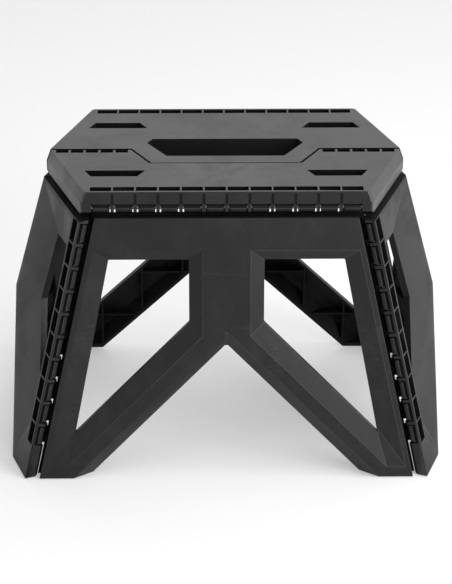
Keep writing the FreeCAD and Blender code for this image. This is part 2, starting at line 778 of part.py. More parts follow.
def side_window():
    """Facets and lip lines of the side panel's window."""
    free, ridge, top = side_lines(OUTER)
    strip_x = -RIM_DEPTH + RIM_WALL + SIDE_SLOT_DEPTH + STRIP_WALL
    strip = ((strip_x, 0), (0, -1))
    edges = [shifted(free, SIDE_LAND), shifted(ridge, SIDE_LAND), shifted(top, SIDE_TOP_LAND)]
    lip_lines = [
        shifted(edges[0], SIDE_BEVEL),
        shifted(edges[1], SIDE_BEVEL),
        shifted(edges[2], SIDE_TOP_BEVEL),
        strip,
    ]
    slope = math.radians(SIDE_FOOT_SLOPE)
    floor_at_strip = meet(strip, line(side_point(OUTER, -FOOT_REAR, 0),
                                      side_point(OUTER, LEG_AXIS_Y, 0)))
    foot = ((strip_x, floor_at_strip[1] + SIDE_FOOT_START),
            (math.cos(slope), -math.sin(slope)))
    facets = [
        (edges[0], meet(lip_lines[0], lip_lines[1])),
        (edges[1], meet(lip_lines[0], lip_lines[1])),
        (edges[2], meet(lip_lines[1], lip_lines[2])),
        (strip, (strip_x, 0)),
        (foot, meet(lip_lines[3], lip_lines[0])),
    ]
    return facets, lip_lines


def ridge_axis():
    """Direction and ends of the ridge hinge, in the side panel's flat frame."""
    low = side_point(INNER, 0, KINK_HEIGHT)
    high = side_point(INNER, 0, SIDE_TOP)
    start, end = Vec(low[0], low[1], INNER), Vec(high[0], high[1], INNER)
    return (end - start).normalize(), start, end


def ridge_ear_spans():
    """Ends of each ear along the ridge hinge."""
    along, start, end = ridge_axis()
    free_run = (end - start).Length - 2 * RIDGE_END - RIDGE_EAR_WIDTH
    spans = []
    for i in range(RIDGE_EARS):
        low = RIDGE_END + free_run * i / (RIDGE_EARS - 1)
        spans.append((start + along * low, start + along * (low + RIDGE_EAR_WIDTH)))
    return spans


def ridge_pin_ends(ease):
    """Ends of the ridge pin, moved out by a play."""
    along, start, end = ridge_axis()
    return start + along * (RIDGE_END - ease), end - along * (RIDGE_END - ease)


def side_pad():
    """Rubber pad under the front right side panel's foot."""
    middle_level = (INNER + OUTER) / 2
    tip = side_point(middle_level, LEG_AXIS_Y, 0)
    front = (-RIM_DEPTH, tip[1])
    rear = side_point(middle_level, -FOOT_REAR, 0)
    places = []
    for x, y in (front, rear):
        places.append(SIDE_ORIGIN + SIDE_AWAY * x + HINGE_UP * y + SIDE_OUT * middle_level)
    run = places[1] - places[0]
    along = Vec(run.x, run.y, 0).normalize()
    middle = (places[0] + places[1]) * 0.5
    return foot_pad(Vec(middle.x, middle.y, 0), along, SIDE_PAD_LENGTH)


def side_panel(has_ears):
    """Front right side panel. The one with ears holds the ridge pin in their bore."""
    free, ridge, top = side_lines(OUTER)
    rim_edge = ((-RIM_DEPTH, 0), (0, -1))
    foot_level = side_point(OUTER, -FOOT_REAR, 0)[1]
    low = ((0, foot_level - PANEL_THICK), (1, 0))
    high = ((0, HALF_DEPTH), (-1, 0))
    panel = prism(corners([low, free, high, rim_edge]), INNER_FACE, OUTER)
    facets, lip_lines = side_window()
    opening, opening_wall = window_cutters(facets, lip_lines)
    hidden_free, hidden_ridge, hidden_top = side_lines(INNER)
    strip_x = -RIM_DEPTH + RIM_WALL + SIDE_SLOT_DEPTH + STRIP_WALL
    floor_line = ((0, foot_level + SOLE + PAD_DEEP + PAD_PROUD), (1, 0))
    inner_lines = [
        floor_line, shifted(hidden_free, SKIN), shifted(hidden_ridge, SKIN + RIDGE_EAR_RADIUS),
        shifted(top, SKIN), ((strip_x, 0), (0, -1)),
    ]
    far_x = meet(hidden_free, hidden_ridge)[0]
    cavity = ribbed_cavity(
        corners(inner_lines), [opening_wall],
        even_places(strip_x, far_x), even_places(-LEG_LENGTH, 0))
    row_low = -CORNER_START - CORNER_WINDOWS * CORNER_PITCH
    cutters = rim_cutters(corner_places(), CORNER_PITCH, SIDE_SLOT_DEPTH, WELL_DEPTH, OUTER)
    cutters.append(rim_bevel(-LEG_LENGTH - PANEL_THICK, HALF_DEPTH))
    cutters.append(rim_bore(row_low - PIN_END, PIN_END - CORNER_START))
    panel = panel.cut(cutters + [opening, cavity])
    panel = in_side(panel)
    panel = keep_side(panel, Vec(0, -RIDGE_GAP, 0), Vec(0, -1, 0))
    panel = keep_side(panel, Vec(0, 0, SIDE_TOP), Vec(0, 0, -1))
    panel = keep_side(panel, Vec(0, 0, PAD_PROUD), Vec(0, 0, 1))
    panel = panel.cut(side_pad())
    play = 0 if has_ears else RIDGE_PLAY
    ears = []
    for start, end in ridge_ear_spans():
        along = (end - start).normalize() * play
        ears.append(in_side(flat_sided(
            start - along, end + along, RIDGE_EAR_RADIUS + play, Vec(0, 0, 1), BARREL_FLATS)))
    if has_ears:
        panel = panel.fuse(ears)
    else:
        panel = panel.cut(ears)
    start, end = ridge_pin_ends(RIDGE_PLAY)
    bore = in_side(flat_sided(start, end, BORE_RADIUS, Vec(0, 0, 1), BORE_FLATS))
    return panel.cut(bore).removeSplitter()


# Steel pins.
def seat_pin():
    """Pin of the front leg hinge."""
    half_row = SEAT_WINDOWS * SEAT_PITCH / 2 + PIN_END / 2
    return in_leg(rod(Vec(-half_row, 0, 0), Vec(half_row, 0, 0), PIN_RADIUS))


def centre_pin():
    """Right pin of the middle hinge."""
    low, high = centre_pin_span()
    return rod(Vec(low, 0, SEAT_BASE), Vec(high, 0, SEAT_BASE), PIN_RADIUS)


def corner_pin():
    """Pin of the front right corner hinge."""
    row_low = -CORNER_START - CORNER_WINDOWS * CORNER_PITCH - PIN_END / 2
    return in_side(rod(Vec(0, row_low, 0), Vec(0, PIN_END / 2 - CORNER_START, 0), PIN_RADIUS))


def ridge_pin():
    """Pin of the right ridge hinge."""
    start, end = ridge_pin_ends(0)
    return in_side(rod(start, end, PIN_RADIUS))


def left(shape):
    """Copy on the left of the stool."""
    return flipped(shape, Vec(1, 0, 0))


def rear(shape):
    """Copy at the rear of the stool."""
    return flipped(shape, Vec(0, 1, 0))


def all_nodes():
    """Every piece of the stool by name."""
    front_leg = leg_panel()
    eared, saddled = side_panel(True), rear(side_panel(False))
    nodes = {
        "front_seat_half": front_seat_half(),
        "rear_seat_half": rear_seat_half(),
        "front_leg_panel": front_leg,
        "rear_leg_panel": rear(front_leg),
        "front_right_side_panel": eared,
        "front_left_side_panel": left(eared),
        "rear_right_side_panel": saddled,
        "rear_left_side_panel": left(saddled),
        "front_seat_pin": seat_pin(),
        "rear_seat_pin": rear(seat_pin()),
        "right_centre_pin": centre_pin(),
        "left_centre_pin": left(centre_pin()),
        "right_ridge_pin": ridge_pin(),
        "left_ridge_pin": left(ridge_pin()),
    }
    repeats = (("corner_pin", corner_pin()), ("leg_pad", leg_pad()), ("side_pad", side_pad()))
    for name, shape in repeats:
        nodes["front_right_" + name] = shape
        nodes["front_left_" + name] = left(shape)
        nodes["rear_right_" + name] = rear(shape)
        nodes["rear_left_" + name] = left(rear(shape))
    return nodes


os.makedirs("parts", exist_ok=True)
for node, shape in all_nodes().items():
    shape.exportStep("parts/" + node + ".step")
    print(node, len(shape.Solids), shape.isValid(), round(shape.Volume))
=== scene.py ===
"""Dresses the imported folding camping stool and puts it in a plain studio.

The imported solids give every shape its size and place. Each moulded panel, steel pin and
rubber pad gets a finished piece with eased edges that stands for its solid, and a finish
made from shader nodes.
"""

import json
import logging
import math
from dataclasses import dataclass
from enum import Enum
from typing import Any

import bmesh
import bpy
import numpy as np
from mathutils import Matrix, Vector
from mathutils.bvhtree import BVHTree

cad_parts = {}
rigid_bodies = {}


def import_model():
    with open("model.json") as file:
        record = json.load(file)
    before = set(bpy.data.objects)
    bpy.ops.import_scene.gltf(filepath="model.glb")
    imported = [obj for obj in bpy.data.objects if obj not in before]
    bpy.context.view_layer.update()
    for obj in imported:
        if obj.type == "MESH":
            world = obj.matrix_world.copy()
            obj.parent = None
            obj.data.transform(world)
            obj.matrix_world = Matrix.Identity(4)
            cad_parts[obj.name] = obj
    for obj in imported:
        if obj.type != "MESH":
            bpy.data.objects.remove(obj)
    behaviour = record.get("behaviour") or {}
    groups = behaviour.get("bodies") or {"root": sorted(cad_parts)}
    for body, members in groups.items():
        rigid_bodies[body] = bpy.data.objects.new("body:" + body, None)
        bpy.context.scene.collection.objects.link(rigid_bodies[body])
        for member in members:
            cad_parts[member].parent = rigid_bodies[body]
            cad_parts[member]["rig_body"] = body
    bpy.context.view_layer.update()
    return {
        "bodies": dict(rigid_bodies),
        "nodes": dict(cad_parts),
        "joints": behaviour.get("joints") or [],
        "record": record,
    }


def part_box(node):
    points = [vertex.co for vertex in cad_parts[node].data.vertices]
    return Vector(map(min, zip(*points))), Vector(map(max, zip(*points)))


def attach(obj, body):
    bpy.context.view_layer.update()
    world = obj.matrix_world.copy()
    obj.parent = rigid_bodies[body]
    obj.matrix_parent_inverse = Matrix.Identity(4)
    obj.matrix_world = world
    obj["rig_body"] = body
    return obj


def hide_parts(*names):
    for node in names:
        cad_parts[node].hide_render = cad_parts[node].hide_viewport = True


LOG = logging.getLogger("stool")
MM = 0.001
EDGE_MASK = "eased_edge"
PAINTED_SHADE_MASK = "painted_shade"
WHITE = (1.0, 1.0, 1.0, 1.0)
GOLDEN_TURN = math.pi * (3.0 - math.sqrt(5.0))


class Socket(Enum):
    """Kinds of node group socket that the finishes use."""

    VALUE = "NodeSocketFloat"
    VECTOR = "NodeSocketVector"


class Slot(Enum):
    """Material slots of the record."""

    PLASTIC = "black_plastic"
    STEEL = "pin_steel"
    RUBBER = "pad_rubber"


class Finish(Enum):
    """Places of the finishes in a piece's material list."""

    OPEN = 0
    # The dark second finish paints shade on closed-in faces.
    PAINTED_SHADE = 1
    RIM_WALL = 2


class NodeSheet:
    """Places and wires nodes in one node tree."""

    column_width: float = 190.0
    row_height: float = 170.0
    rows: int = 4
    mix_first: int = 6
    mix_second: int = 7
    mix_result: int = 2

    def __init__(self, tree: bpy.types.NodeTree) -> None:
        """Start with the node tree to fill."""
        self.tree = tree
        self.column = 0

    def add(self, kind: str, values: dict[str, Any] | None = None,
            **settings: Any) -> bpy.types.Node:
        """Add a node.

        Args:
            kind: Blender's name of the node type.
            values: Input socket names with a plain value or a socket to link.
            **settings: Properties of the node itself.

        Returns:
            The new node.
        """
        node = self.tree.nodes.new(kind)
        node.location = (
            self.column * self.column_width, -(self.column % self.rows) * self.row_height)
        self.column += 1
        for name, value in settings.items():
            setattr(node, name, value)
        for name, value in (values or {}).items():
            self.feed(node.inputs[name], value)
        return node

    def feed(self, socket: bpy.types.NodeSocket, value: Any) -> None:
        """Link a socket to another, or give it a plain value.

        Args:
            socket: The input socket.
            value: An output socket, a number or a tuple.
        """
        if isinstance(value, bpy.types.NodeSocket):
            self.tree.links.new(value, socket)
        else:
            socket.default_value = value

    def math(self, operation: str, first: Any, second: Any = 0.0,
             clamp: bool = False) -> bpy.types.NodeSocket:
        """Add a math node.

        Args:
            operation: Blender's name of the operation.
            first: First number or socket.
            second: Second number or socket.
            clamp: Whether the result is kept between 0 and 1.

        Returns:
            The result's socket.
        """
        node = self.add("ShaderNodeMath", operation=operation, use_clamp=clamp)
        self.feed(node.inputs[0], first)
        self.feed(node.inputs[1], second)
        return node.outputs[0]

    def remap(self, value: Any, low: float, high: float, to_low: float,
              to_high: float) -> bpy.types.NodeSocket:
        """Spread a range of a value over another range, smoothly.

        Args:
            value: Number or socket.
            low: Start of the range that is read.
            high: End of the range that is read.
            to_low: Result at the start.
            to_high: Result at the end.

        Returns:
            The result's socket.
        """
        node = self.add("ShaderNodeMapRange", {
            "Value": value, "From Min": low, "From Max": high,
            "To Min": to_low, "To Max": to_high}, interpolation_type="SMOOTHSTEP")
        return node.outputs["Result"]

    def mix(self, factor: Any, first: Any, second: Any) -> bpy.types.NodeSocket:
        """Mix two colours.

        Args:
            factor: Share of the second colour.
            first: Colour at 0.
            second: Colour at 1.

        Returns:
            The mixed colour's socket.
        """
        node = self.add("ShaderNodeMix", data_type="RGBA")
        self.feed(node.inputs["Factor"], factor)
        self.feed(node.inputs[self.mix_first], first)
        self.feed(node.inputs[self.mix_second], second)
        return node.outputs[self.mix_result]


def make_group(name: str, inputs: dict[str, tuple[Socket, Any]],
               outputs: dict[str, Socket]) -> tuple[bpy.types.NodeTree, NodeSheet, Any, Any]:
    """Start a shader node group with named sockets.

    Args:
        name: The group's name.
        inputs: Input names with their kind and default value.
        outputs: Output names with their kind.

    Returns:
        The group, its sheet, its input node and its output node.
    """
    tree = bpy.data.node_groups.new(name, "ShaderNodeTree")
    for label, (kind, default) in inputs.items():
        socket = tree.interface.new_socket(label, in_out="INPUT", socket_type=kind.value)
        if default is not None:
            socket.default_value = default
    for label, kind in outputs.items():
        tree.interface.new_socket(label, in_out="OUTPUT", socket_type=kind.value)
    sheet = NodeSheet(tree)
    return tree, sheet, sheet.add("NodeGroupInput"), sheet.add("NodeGroupOutput")


@dataclass(frozen=True)
class SurfaceEffects:
    """Shader node groups that several finishes share."""

    grain: bpy.types.NodeTree
    clouds: bpy.types.NodeTree
    scuffs: bpy.types.NodeTree
    highlight_and_shade: bpy.types.NodeTree
    fans: bpy.types.NodeTree

    @classmethod
    def build(cls) -> "SurfaceEffects":
        """Build every group once."""
        return cls(cls.make_grain(), cls.make_clouds(), cls.make_scuffs(),
                   cls.make_highlight_and_shade(), cls.make_fans())

    @staticmethod
    def make_grain() -> bpy.types.NodeTree:
        """Fine pebbled texture of a mould's surface.

        Returns:
            The group, which puts out a height and a mask of specks.
        """
        coarse_scale, cell_share, coarse_share = 0.45, 0.6, 0.6
        tree, sheet, inside, outside = make_group(
            "mould_grain",
            {"Vector": (Socket.VECTOR, None), "Cells per metre": (Socket.VALUE, 1500.0),
             "Softness": (Socket.VALUE, 0.5)},
            {"Height": Socket.VALUE, "Speck": Socket.VALUE})
        cells = sheet.add("ShaderNodeTexVoronoi", {
            "Vector": inside.outputs["Vector"], "Scale": inside.outputs["Cells per metre"]},
            feature="SMOOTH_F1")
        sheet.feed(cells.inputs["Smoothness"], inside.outputs["Softness"])
        rough = sheet.add("ShaderNodeTexNoise", {
            "Vector": inside.outputs["Vector"],
            "Scale": sheet.math("MULTIPLY", inside.outputs["Cells per metre"], coarse_scale),
            "Detail": 3.0, "Roughness": 0.6})
        sheet.feed(outside.inputs["Height"], sheet.math(
            "ADD", sheet.math("MULTIPLY", cells.outputs["Distance"], cell_share),
            sheet.math("MULTIPLY", rough.outputs["Fac"], coarse_share)))
        sheet.feed(outside.inputs["Speck"], sheet.remap(rough.outputs["Fac"], 0.3, 0.7, 0.0, 1.0))
        return tree

    @staticmethod
    def make_clouds() -> bpy.types.NodeTree:
        """Broad cloudy sheen, drawn out along the flow of the plastic.

        Returns:
            The group, which puts out masks of clouds and streaks.
        """
        streaks_per_cloud = 3.2
        tree, sheet, inside, outside = make_group(
            "flow_clouds",
            {"Vector": (Socket.VECTOR, None), "Clouds per metre": (Socket.VALUE, 14.0),
             "Stretch": (Socket.VECTOR, (1.0, 2.5, 1.0))},
            {"Cloud": Socket.VALUE, "Streak": Socket.VALUE})
        drawn = sheet.add("ShaderNodeVectorMath", operation="MULTIPLY")
        sheet.feed(drawn.inputs[0], inside.outputs["Vector"])
        sheet.feed(drawn.inputs[1], inside.outputs["Stretch"])
        broad = sheet.add("ShaderNodeTexNoise", {
            "Vector": inside.outputs["Vector"], "Scale": inside.outputs["Clouds per metre"],
            "Detail": 5.0, "Roughness": 0.58, "Distortion": 0.6})
        fine = sheet.add("ShaderNodeTexNoise", {
            "Vector": drawn.outputs[0],
            "Scale": sheet.math(
                "MULTIPLY", inside.outputs["Clouds per metre"], streaks_per_cloud),
            "Detail": 4.0, "Roughness": 0.65, "Distortion": 0.3})
        sheet.feed(outside.inputs["Cloud"], sheet.remap(broad.outputs["Fac"], 0.3, 0.7, 0.0, 1.0))
        sheet.feed(outside.inputs["Streak"], sheet.remap(fine.outputs["Fac"], 0.32, 0.68, 0.0, 1.0))
        return tree

    @staticmethod
    def make_scuffs() -> bpy.types.NodeTree:
        """Thin crossing rub marks in two directions.

        Returns:
            The group, which puts out a mask of marks.
        """
        headings = ((0.55, 0.05), (-0.9, 0.08))
        tilt, lines_per_mark, patches_per_mark = 0.7, 6.0, 0.35
        tree, sheet, inside, outside = make_group(
            "rub_marks",
            {"Vector": (Socket.VECTOR, None), "Marks per metre": (Socket.VALUE, 60.0),
             "Share": (Socket.VALUE, 0.12)},
            {"Mark": Socket.VALUE})
        marks = []
        for turn, squeeze in headings:
            turned = sheet.add("ShaderNodeMapping", {
                "Vector": inside.outputs["Vector"], "Rotation": (turn, turn * tilt, turn),
                "Scale": (squeeze, 1.0, 1.0)})
            lines = sheet.add("ShaderNodeTexNoise", {
                "Vector": turned.outputs["Vector"],
                "Scale": sheet.math(
                    "MULTIPLY", inside.outputs["Marks per metre"], lines_per_mark),
                "Detail": 2.0, "Roughness": 0.5})
            patch = sheet.add("ShaderNodeTexNoise", {
                "Vector": inside.outputs["Vector"],
                "Scale": sheet.math(
                    "MULTIPLY", inside.outputs["Marks per metre"], patches_per_mark),
                "Detail": 1.0})
            line = sheet.remap(lines.outputs["Fac"], 0.6, 0.68, 0.0, 1.0)
            where = sheet.remap(patch.outputs["Fac"], 0.5, 0.7, 0.0, 1.0)
            marks.append(sheet.math("MULTIPLY", line, where))
        both = sheet.math("MAXIMUM", marks[0], marks[1])
        sheet.feed(outside.inputs["Mark"],
                   sheet.math("MULTIPLY", both, inside.outputs["Share"]))
        return tree

    @staticmethod
    def make_highlight_and_shade() -> bpy.types.NodeTree:
        """Masks of the rubbed edges, partly wear and partly a painted highlight, and of the
        closed-in faces, which get painted shade and a duller skin.

        Returns:
            The group, which puts out both masks.
        """
        tree, sheet, inside, outside = make_group(
            "edge_wear_highlight_and_shade",
            {"Vector": (Socket.VECTOR, None), "Breaks per metre": (Socket.VALUE, 120.0),
             "Amount": (Socket.VALUE, 1.0)},
            {"Edge": Socket.VALUE, "Painted shade": Socket.VALUE})
        edge = sheet.add("ShaderNodeAttribute", attribute_name=EDGE_MASK)
        recess = sheet.add("ShaderNodeAttribute", attribute_name=PAINTED_SHADE_MASK)
        breaks = sheet.add("ShaderNodeTexNoise", {
            "Vector": inside.outputs["Vector"], "Scale": inside.outputs["Breaks per metre"],
            "Detail": 2.0})
        worn = sheet.remap(breaks.outputs["Fac"], 0.25, 0.6, 0.45, 1.0)
        # Painted shade: the closed-in share, which darkens the colour further on.
        painted_shade = sheet.remap(recess.outputs["Fac"], 0.15, 0.6, 0.0, 1.0)
        sheet.feed(outside.inputs["Painted shade"], painted_shade)
        bare = sheet.math("SUBTRACT", 1.0, painted_shade)
        # Lighter rounded edges, broken by noise: partly wear, partly a painted highlight.
        masked = sheet.math("MULTIPLY", sheet.math("MULTIPLY", edge.outputs["Fac"], worn), bare)
        sheet.feed(outside.inputs["Edge"],
                   sheet.math("MULTIPLY", masked, inside.outputs["Amount"]))
        return tree

    @staticmethod
    def make_fans() -> bpy.types.NodeTree:
        """Faint rays that fan out from the gate where the plastic entered the mould.

        Returns:
            The group, which puts out a mask of rays.
        """
        patches_per_metre, near, far, far_share = 26.0, 4.0 * MM, 160.0 * MM, 0.25
        tree, sheet, inside, outside = make_group(
            "flow_fans",
            {"Vector": (Socket.VECTOR, None), "Gate": (Socket.VECTOR, (0.0, 0.0, 0.0)),
             "Rays": (Socket.VALUE, 2.2)},
            {"Fan": Socket.VALUE})
        away = sheet.add("ShaderNodeVectorMath", operation="SUBTRACT")
        sheet.feed(away.inputs[0], inside.outputs["Vector"])
        sheet.feed(away.inputs[1], inside.outputs["Gate"])
        heading = sheet.add("ShaderNodeVectorMath", operation="NORMALIZE")
        sheet.feed(heading.inputs[0], away.outputs[0])
        reach = sheet.add("ShaderNodeVectorMath", operation="LENGTH")
        sheet.feed(reach.inputs[0], away.outputs[0])
        rays = sheet.add("ShaderNodeTexNoise", {
            "Vector": heading.outputs[0], "Scale": inside.outputs["Rays"],
            "Detail": 3.0, "Roughness": 0.55})
        patches = sheet.add("ShaderNodeTexNoise", {
            "Vector": inside.outputs["Vector"], "Scale": patches_per_metre, "Detail": 2.0})
        fade = sheet.remap(reach.outputs["Value"], near, far, 1.0, far_share)
        ray = sheet.remap(rays.outputs["Fac"], 0.4, 0.6, 0.0, 1.0)
        broken = sheet.math(
            "MULTIPLY", ray, sheet.remap(patches.outputs["Fac"], 0.3, 0.6, 0.3, 1.0))
        sheet.feed(outside.inputs["Fan"], sheet.math("MULTIPLY", broken, fade))
        return tree


@dataclass(frozen=True)
class MouldedPlastic:
    """Black plastic with a spark-textured skin and a cloudy satin sheen.

    Colours: the ground, its cloudy sheen, the rubbed edges, partly wear and partly a
    painted highlight, and the painted shade of closed-in recesses. Depths and lifts say how
    much clouds, grain, fans and rubbed edges change the skin.
    """

    name: str
    colour: tuple[float, float, float]
    sheen_colour: tuple[float, float, float]
    rub_and_highlight_colour: tuple[float, float, float] = (0.07, 0.07, 0.071)
    painted_shade_colour: tuple[float, float, float] = (0.004, 0.004, 0.004)
    roughness: float = 0.46
    gloss: float = 0.5
    cloud_depth: float = 0.08
    grain_depth: float = 0.05
    edge_highlight_and_wear: float = 0.35
    stretch: tuple[float, float, float] = (1.0, 2.5, 1.0)
    gate: tuple[float, float, float] = (0.0, 0.0, 0.2)
    fan_depth: float = 0.06
    fan_bloom: float = 0.5
    speck_depth: float = 0.05
    edge_smoothing: float = 0.15
    recess_dulling: float = 0.3
    cloud_height: float = 0.35
    bump_strength: float = 0.35
    bump_reach: float = 0.4 * MM

    def make(self, effects: SurfaceEffects) -> bpy.types.Material:
        """Build the material.

        Args:
            effects: The shared shader groups.

        Returns:
            The material.
        """
        material, sheet, shader, place = start_material(self.name)
        shader.inputs["Specular IOR Level"].default_value = self.gloss
        clouds = sheet.add("ShaderNodeGroup", node_tree=effects.clouds)
        sheet.feed(clouds.inputs["Vector"], place)
        clouds.inputs["Stretch"].default_value = self.stretch
        scuffs = sheet.add("ShaderNodeGroup", node_tree=effects.scuffs)
        sheet.feed(scuffs.inputs["Vector"], place)
        grain = sheet.add("ShaderNodeGroup", node_tree=effects.grain)
        sheet.feed(grain.inputs["Vector"], place)
        edge = sheet.add("ShaderNodeGroup", node_tree=effects.highlight_and_shade)
        sheet.feed(edge.inputs["Vector"], place)
        edge.inputs["Amount"].default_value = self.edge_highlight_and_wear
        fans = sheet.add("ShaderNodeGroup", node_tree=effects.fans)
        sheet.feed(fans.inputs["Vector"], place)
        fans.inputs["Gate"].default_value = self.gate
        bloom = sheet.math(
            "ADD", sheet.math("MULTIPLY", clouds.outputs["Cloud"], clouds.outputs["Streak"]),
            sheet.math("MULTIPLY", fans.outputs["Fan"], self.fan_bloom), clamp=True)
        mottled = sheet.mix(bloom, (*self.colour, 1.0), (*self.sheen_colour, 1.0))
        rubbed = sheet.mix(scuffs.outputs["Mark"], mottled, (*self.rub_and_highlight_colour, 1.0))
        # Rounded edges take the lighter rub colour: partly wear, partly a painted highlight.
        eased = sheet.mix(edge.outputs["Edge"], rubbed, (*self.rub_and_highlight_colour, 1.0))
        # Painted shade: closed-in faces turn towards the dark shade colour.
        sheet.feed(shader.inputs["Base Color"], sheet.mix(
            edge.outputs["Painted shade"], eased, (*self.painted_shade_colour, 1.0)))
        cloud_shift = sheet.remap(
            clouds.outputs["Cloud"], 0.0, 1.0, self.roughness - self.cloud_depth,
            self.roughness + self.cloud_depth)
        fan_shift = sheet.math("SUBTRACT", cloud_shift, sheet.math(
            "MULTIPLY", fans.outputs["Fan"], self.fan_depth))
        speck_shift = sheet.math(
            "ADD", fan_shift,
            sheet.math("MULTIPLY", grain.outputs["Speck"], self.speck_depth))
        rubbed_shift = sheet.math(
            "SUBTRACT", speck_shift,
            sheet.math("MULTIPLY", edge.outputs["Edge"], self.edge_smoothing))
        sheet.feed(shader.inputs["Roughness"], sheet.math(
            "ADD", rubbed_shift,
            sheet.math("MULTIPLY", edge.outputs["Painted shade"], self.recess_dulling)))
        height = sheet.math(
            "ADD", sheet.math("MULTIPLY", grain.outputs["Height"], self.grain_depth),
            sheet.math("MULTIPLY", clouds.outputs["Cloud"], self.cloud_height))
        bump = sheet.add("ShaderNodeBump", {
            "Height": height, "Strength": self.bump_strength, "Distance": self.bump_reach})
        sheet.feed(shader.inputs["Normal"], bump.outputs["Normal"])
        return material


@dataclass(frozen=True)
class DrawnSteel:
    """Plain drawn steel rod with fine lengthwise lines."""

    name: str
    colour: tuple[float, float, float]
    roughness: float = 0.45
    shade: float = 0.8
    clouds_per_metre: float = 220.0
    lines_per_metre: float = 500.0
    line_share: float = 0.5
    line_roughness: float = 0.4
    line_depth: float = 0.05 * MM

    def make(self, effects: SurfaceEffects) -> bpy.types.Material:
        """Build the material.

        Args:
            effects: The shared shader groups.

        Returns:
            The material.
        """
        material, sheet, shader, place = start_material(self.name)
        clouds = sheet.add("ShaderNodeGroup", node_tree=effects.clouds)
        sheet.feed(clouds.inputs["Vector"], place)
        clouds.inputs["Clouds per metre"].default_value = self.clouds_per_metre
        scuffs = sheet.add("ShaderNodeGroup", node_tree=effects.scuffs)
        sheet.feed(scuffs.inputs["Vector"], place)
        scuffs.inputs["Marks per metre"].default_value = self.lines_per_metre
        scuffs.inputs["Share"].default_value = self.line_share
        tinted = sheet.mix(
            clouds.outputs["Streak"], (*self.colour, 1.0),
            tuple(self.shade * part for part in self.colour) + (1.0,))
        sheet.feed(shader.inputs["Base Color"], tinted)
        shader.inputs["Metallic"].default_value = 1.0
        sheet.feed(shader.inputs["Roughness"], sheet.math(
            "ADD", self.roughness,
            sheet.math("MULTIPLY", scuffs.outputs["Mark"], self.line_roughness)))
        bump = sheet.add("ShaderNodeBump", {
            "Height": scuffs.outputs["Mark"], "Strength": 0.2, "Distance": self.line_depth})
        sheet.feed(shader.inputs["Normal"], bump.outputs["Normal"])
        return material


@dataclass(frozen=True)
class PadRubber:
    """Matt black rubber with a dusty bloom."""

    name: str
    colour: tuple[float, float, float]
    bloom: tuple[float, float, float]
    bloom_share: float = 0.6
    clouds_per_metre: float = 90.0
    smoothest: float = 0.72
    roughest: float = 0.88
    grain_depth: float = 0.15 * MM

    def make(self, effects: SurfaceEffects) -> bpy.types.Material:
        """Build the material.

        Args:
            effects: The shared shader groups.

        Returns:
            The material.
        """
        material, sheet, shader, place = start_material(self.name)
        clouds = sheet.add("ShaderNodeGroup", node_tree=effects.clouds)
        sheet.feed(clouds.inputs["Vector"], place)
        clouds.inputs["Clouds per metre"].default_value = self.clouds_per_metre
        grain = sheet.add("ShaderNodeGroup", node_tree=effects.grain)
        sheet.feed(grain.inputs["Vector"], place)
        sheet.feed(shader.inputs["Base Color"], sheet.mix(
            sheet.math("MULTIPLY", clouds.outputs["Cloud"], self.bloom_share),
            (*self.colour, 1.0), (*self.bloom, 1.0)))
        sheet.feed(shader.inputs["Roughness"], sheet.remap(
            grain.outputs["Speck"], 0.0, 1.0, self.smoothest, self.roughest))
        bump = sheet.add("ShaderNodeBump", {
            "Height": grain.outputs["Height"], "Strength": 0.4, "Distance": self.grain_depth})
        sheet.feed(shader.inputs["Normal"], bump.outputs["Normal"])
        return material


def start_material(name: str) -> tuple[bpy.types.Material, NodeSheet, Any, Any]:
    """Start a material with its shader and its place on the object.

    Args:
        name: The material's name.

    Returns:
        The material, its sheet, its Principled shader and the object coordinates.
    """
    material = bpy.data.materials.new(name)
    material.use_nodes = True
    material.node_tree.nodes.clear()
    sheet = NodeSheet(material.node_tree)
    output = sheet.add("ShaderNodeOutputMaterial")
    shader = sheet.add("ShaderNodeBsdfPrincipled")
    sheet.feed(output.inputs["Surface"], shader.outputs["BSDF"])
    place = sheet.add("ShaderNodeTexCoord").outputs["Object"]
    return material, sheet, shader, place


class Shelter:
    """Measures how far each face of a piece is closed in; shade is painted by this measure."""

    rays: int = 24
    reach: float = 45.0 * MM
    lift: float = 0.15 * MM

    def __init__(self, frame: dict[str, Any]) -> None:
        """Gather every solid at rest into one search tree.

        Args:
            frame: The loaded frame.
        """
        points, faces = [], []
        for node in sorted(frame["nodes"]):
            mesh = frame["nodes"][node].data
            first = len(points)
            points.extend(vertex.co.copy() for vertex in mesh.vertices)
            faces.extend([first + i for i in polygon.vertices] for polygon in mesh.polygons)
        self.tree = BVHTree.FromPolygons(points, faces)

    def share(self, place: Vector, normal: Vector) -> float:
        """Share of an even fan of rays that the stool stops.

        Args:
            place: A point on a face.
            normal: The face's normal.

        Returns:
            0 in the open, 1 where every ray is stopped.
        """
        side = normal.orthogonal().normalized()
        other = normal.cross(side)
        start = place + normal * self.lift
        stopped = 0
        for i in range(self.rays):
            spread = math.sqrt((i + 0.5) / self.rays)
            turn = i * GOLDEN_TURN
            ray = (side * math.cos(turn) + other * math.sin(turn)) * spread
            ray += normal * math.sqrt(1.0 - spread * spread)
            if self.tree.ray_cast(start, ray, self.reach)[0] is not None:
                stopped += 1
        return stopped / self.rays


